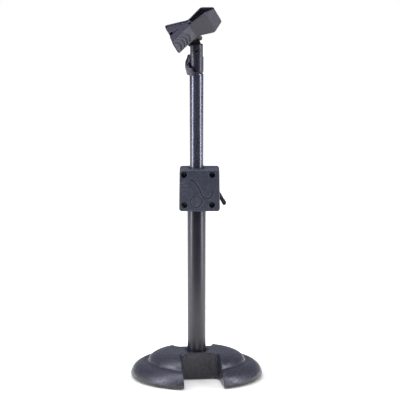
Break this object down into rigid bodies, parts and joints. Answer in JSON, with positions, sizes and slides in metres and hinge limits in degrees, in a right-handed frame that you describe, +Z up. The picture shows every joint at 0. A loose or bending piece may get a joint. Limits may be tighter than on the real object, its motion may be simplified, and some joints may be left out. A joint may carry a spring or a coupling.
{
  "type": "desktop microphone stand",
  "caption": "Desktop microphone stand: cast base with nesting notches, telescopic tube with a one-hand clutch, and a spring clip on a tilting swivel.",
  "frame": {"origin": "on the floor under the centre of the round base, on the tube's axis", "axes": "+Z up along the tube; the base notches open towards -Y and +Y; the microphone points roughly along +X"},
  "size_m": [0.18, 0.1714, 0.5097],
  "materials": {
    "base_iron": "textured powder coat, slight sheen",
    "outer_tube_paint": "satin black lacquer",
    "inner_tube_finish": "bright satin black",
    "clutch_housing": "fine-textured blue-grey nylon",
    "clip_plastic": "dark moulded nylon",
    "black_plastic": "black moulded",
    "black_steel": "blackened steel",
    "bare_steel": "zinc plated",
    "white_nylon": "natural nylon",
    "black_rubber": "matt"
  },
  "bodies": {
    "root": {"base_casting": "base_iron", "base_pad_1": "black_rubber", "base_pad_2": "black_rubber", "base_pad_3": "black_rubber", "base_pad_4": "black_rubber", "anchor_bolt": "bare_steel", "anchor_washer": "bare_steel", "outer_tube": "outer_tube_paint", "outer_tube_plug": "bare_steel", "clutch_front_cover": "clutch_housing", "clutch_rear_housing": "clutch_housing", "cover_screw_1": "black_steel", "cover_screw_2": "black_steel", "cover_screw_3": "black_steel", "cover_screw_4": "black_steel", "guide_bush": "black_plastic", "lever_pin": "bare_steel"},
    "release_lever": {"release_lever": "black_plastic"},
    "clutch_plates": {"clutch_plate_1": "bare_steel", "clutch_plate_2": "bare_steel", "clutch_plate_3": "bare_steel", "clutch_spring": "bare_steel"},
    "inner_tube": {"inner_tube": "inner_tube_finish", "inner_tube_guide": "white_nylon", "tube_top_stud": "bare_steel"},
    "swivel_barrel": {"swivel_barrel": "clip_plastic", "quick_release_pin": "bare_steel", "swivel_screw": "black_steel", "swivel_nut": "black_steel", "friction_washer_front": "white_nylon", "friction_washer_rear": "white_nylon"},
    "quick_release_lever": {"quick_release_lever": "clip_plastic"},
    "clip_tongue": {"clip_tongue": "black_plastic", "pan_rivet": "bare_steel"},
    "clip_carrier": {"clip_carrier": "black_plastic", "hinge_pin": "black_steel", "torsion_spring": "bare_steel"},
    "front_jaw": {"front_jaw": "clip_plastic", "front_jaw_pad": "black_rubber"},
    "rear_jaw": {"rear_jaw": "clip_plastic", "rear_jaw_pad": "black_rubber"}
  },
  "joints": [
    {"name": "tube_slide", "type": "slide", "parent": "root", "child": "inner_tube", "axis": [0, 0, 1], "range_m": [-0.11, 0.06]},
    {"name": "release_lever_press", "type": "hinge", "parent": "root", "child": "release_lever", "pos_m": [0.02481, -0.00305, 0.262], "axis": [0.1219, 0.9925, 0], "range_deg": [0, 12], "stiffness_Nm_per_rad": 0.3, "springref_deg": -17.19},
    {"name": "clutch_plates_tilt", "type": "hinge", "parent": "root", "child": "clutch_plates", "pos_m": [-0.01489, 0.00183, 0.2666], "axis": [0.1219, 0.9925, 0], "range_deg": [-3.2, 0]},
    {"name": "barrel_turn", "type": "hinge", "parent": "inner_tube", "child": "swivel_barrel", "pos_m": [0, 0, 0.425], "axis": [0, 0, 1], "continuous": true},
    {"name": "quick_release_press", "type": "hinge", "parent": "swivel_barrel", "child": "quick_release_lever", "pos_m": [-0.01138, -0.0006, 0.431], "axis": [0.0523, -0.9986, 0], "range_deg": [0, 5], "stiffness_Nm_per_rad": 0.1, "springref_deg": -11.46},
    {"name": "clip_tilt", "type": "hinge", "parent": "swivel_barrel", "child": "clip_tongue", "pos_m": [0, 0, 0.4496], "axis": [0.1219, 0.9925, 0], "range_deg": [-31, 89]},
    {"name": "clip_pan", "type": "hinge", "parent": "clip_tongue", "child": "clip_carrier", "pos_m": [-0.00602, 0.00074, 0.46053], "axis": [0.8681, -0.1066, 0.4848], "range_deg": [-76, 14]},
    {"name": "front_jaw_open", "type": "hinge", "parent": "clip_carrier", "child": "front_jaw", "pos_m": [-0.00629, -0.00976, 0.48099], "axis": [0.4752, 0.4606, -0.7497], "range_deg": [0, 18], "stiffness_Nm_per_rad": 0.5, "springref_deg": -28.65},
    {"name": "rear_jaw_open", "type": "hinge", "parent": "clip_carrier", "child": "rear_jaw", "pos_m": [-0.00629, -0.00976, 0.48099], "axis": [-0.4752, -0.4606, 0.7497], "range_deg": [0, 18], "stiffness_Nm_per_rad": 0.5, "springref_deg": -28.65}
  ],
  "couplings": [
    {"joint": "clutch_plates_tilt", "follows": "release_lever_press", "ratio": -0.25},
    {"joint": "rear_jaw_open", "follows": "front_jaw_open", "ratio": 1}
  ]
}
